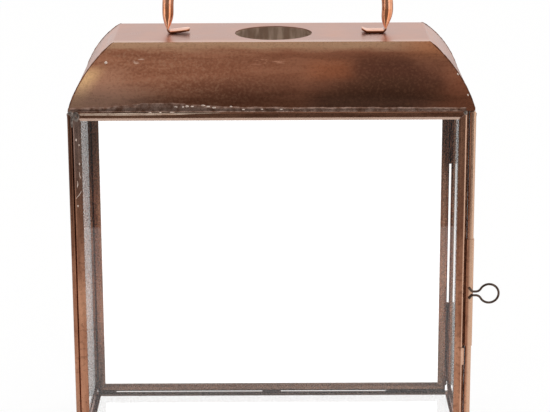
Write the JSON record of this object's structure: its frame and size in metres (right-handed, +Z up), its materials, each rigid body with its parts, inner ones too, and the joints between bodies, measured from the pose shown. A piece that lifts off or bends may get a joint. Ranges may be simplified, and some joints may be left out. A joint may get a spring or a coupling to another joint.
{
  "type": "candle lantern",
  "caption": "Glazed copper candle lantern with a hipped curved roof, round vent, fixed bow handle and a hinged glass end door with a wire pull.",
  "frame": {"origin": "middle of the base, on the surface that the lantern stands on", "axes": "+X towards the door, +Y towards the back, +Z up"},
  "size_m": [0.3732, 0.1762, 0.4964],
  "materials": {
    "channel_copper": "aged brown copper, folded and soldered",
    "roof_copper": "aged burnished copper sheet",
    "handle_copper": "polished copper tube",
    "hinge_copper": "dark aged copper",
    "pull_wire": "dark iron wire",
    "solder": "dull solder",
    "window_glass": "clear window glass"
  },
  "bodies": {
    "lantern": {"base_front_rail": "channel_copper", "base_rear_rail": "channel_copper", "base_left_rail": "channel_copper", "base_right_rail": "channel_copper", "front_bottom_rail": "channel_copper", "front_top_rail": "channel_copper", "front_left_stile": "channel_copper", "front_right_stile": "channel_copper", "back_bottom_rail": "channel_copper", "back_top_rail": "channel_copper", "back_left_stile": "channel_copper", "back_right_stile": "channel_copper", "left_bottom_rail": "channel_copper", "left_top_rail": "channel_copper", "left_front_stile": "channel_copper", "left_rear_stile": "channel_copper", "base_glass": "window_glass", "front_glass": "window_glass", "back_glass": "window_glass", "left_glass": "window_glass", "roof_front": "roof_copper", "roof_back": "roof_copper", "roof_left": "roof_copper", "roof_right": "roof_copper", "roof_top": "roof_copper", "front_tacks": "solder", "back_tacks": "solder", "left_tacks": "solder", "lower_frame_leaf": "hinge_copper", "lower_hinge_pin": "hinge_copper", "upper_frame_leaf": "hinge_copper", "upper_hinge_pin": "hinge_copper", "handle": "handle_copper", "door_catch": "channel_copper", "door_stop": "channel_copper"},
    "door": {"door_bottom_rail": "channel_copper", "door_top_rail": "channel_copper", "door_front_stile": "channel_copper", "door_rear_stile": "channel_copper", "door_glass": "window_glass", "pull_plate": "channel_copper", "pull_wire": "pull_wire", "lower_door_leaf": "hinge_copper", "upper_door_leaf": "hinge_copper"}
  },
  "joints": [
    {"name": "door_hinge", "type": "hinge", "parent": "lantern", "child": "door", "pos_m": [0.1683, 0.08685, 0.16], "axis": [0, 0, 1], "range_deg": [0, 180]}
  ]
}
